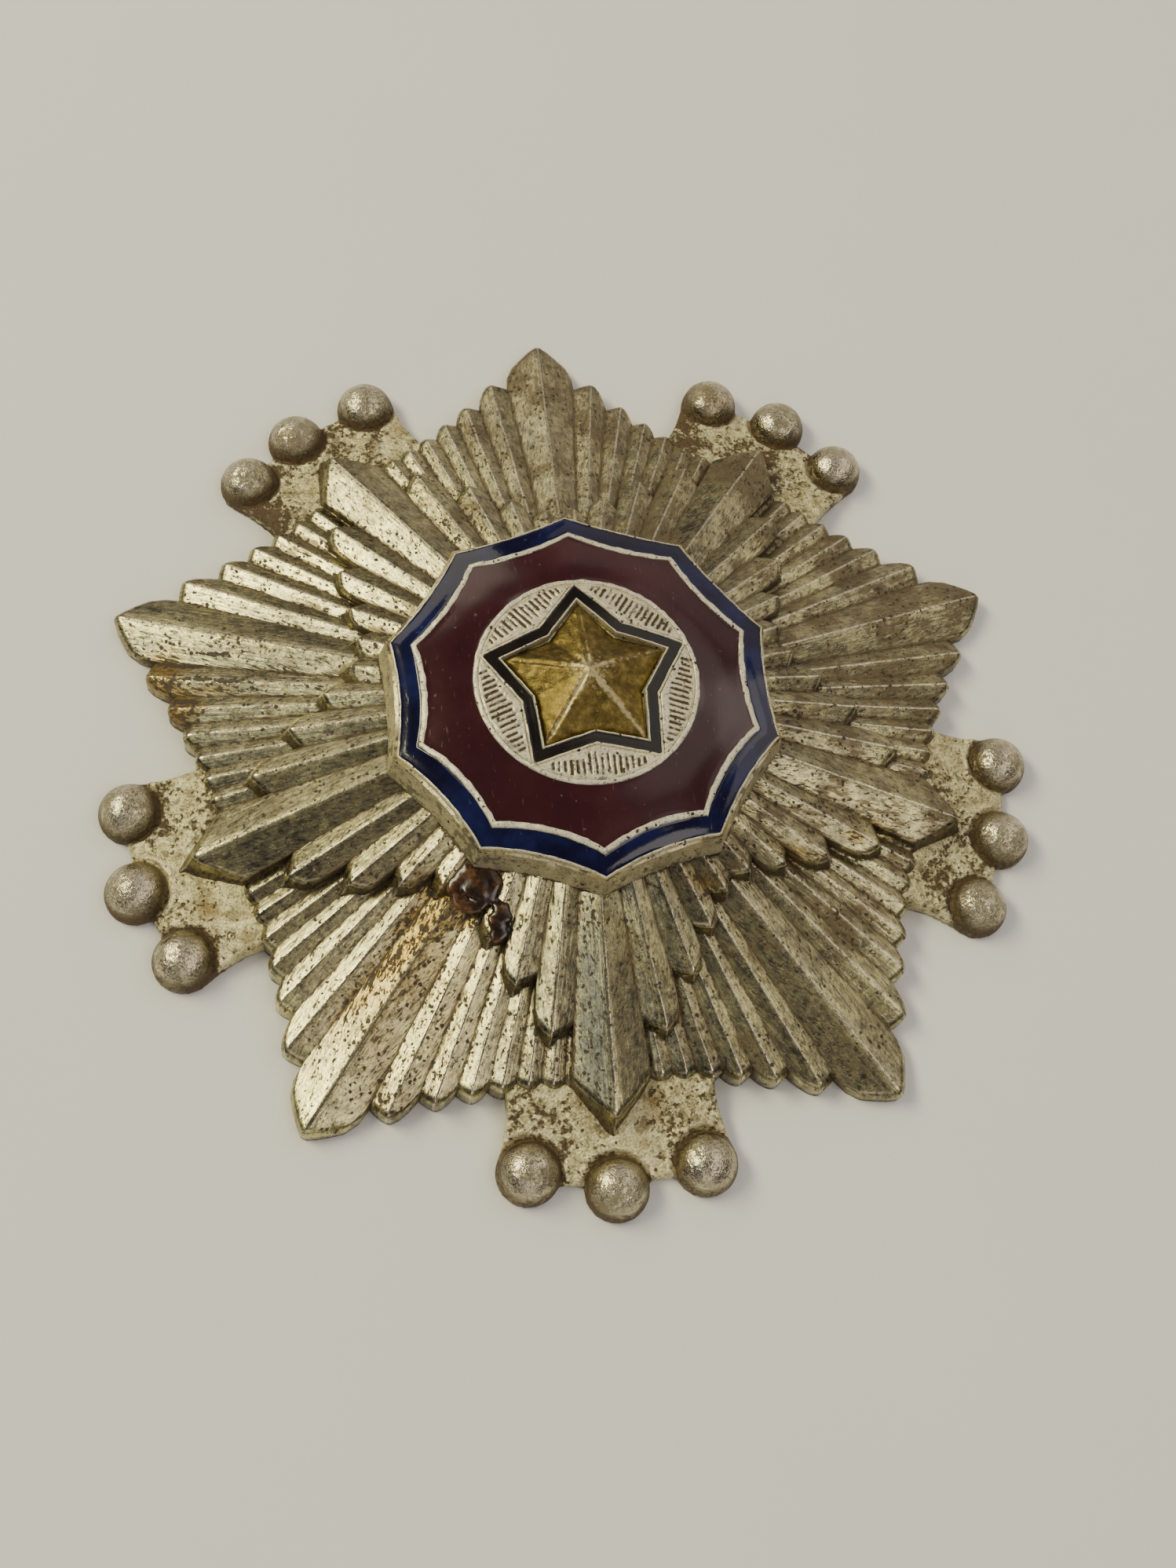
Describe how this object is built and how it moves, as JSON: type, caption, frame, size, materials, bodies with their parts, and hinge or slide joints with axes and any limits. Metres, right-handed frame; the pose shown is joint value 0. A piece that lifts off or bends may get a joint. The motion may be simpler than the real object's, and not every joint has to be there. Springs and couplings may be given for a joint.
{
  "type": "breast star order insignia",
  "caption": "Struck silver breast star with two tiers of rays, clusters of three balls and a domed enamel medallion with a faceted gilt star; pin on the hollow back.",
  "frame": {"origin": "on the star's axis at the level of the back rim, where it rests", "axes": "+Z out of the face, +Y along the long ray of the lower star at the top, +X to the right seen from the front"},
  "size_m": [0.0666, 0.0684, 0.0121],
  "materials": {
    "struck_silver": "tarnished satin",
    "medallion_silver": "satin",
    "blue_enamel": "gloss",
    "red_enamel": "gloss",
    "black_enamel": "gloss",
    "gilt": "worn satin",
    "pin_silver": "satin"
  },
  "bodies": {
    "root": {"star_body": "struck_silver", "medallion": "medallion_silver", "blue_enamel": "blue_enamel", "red_enamel": "red_enamel", "black_enamel": "black_enamel", "gilt_star": "gilt", "brooch_pin": "pin_silver"}
  },
  "joints": []
}
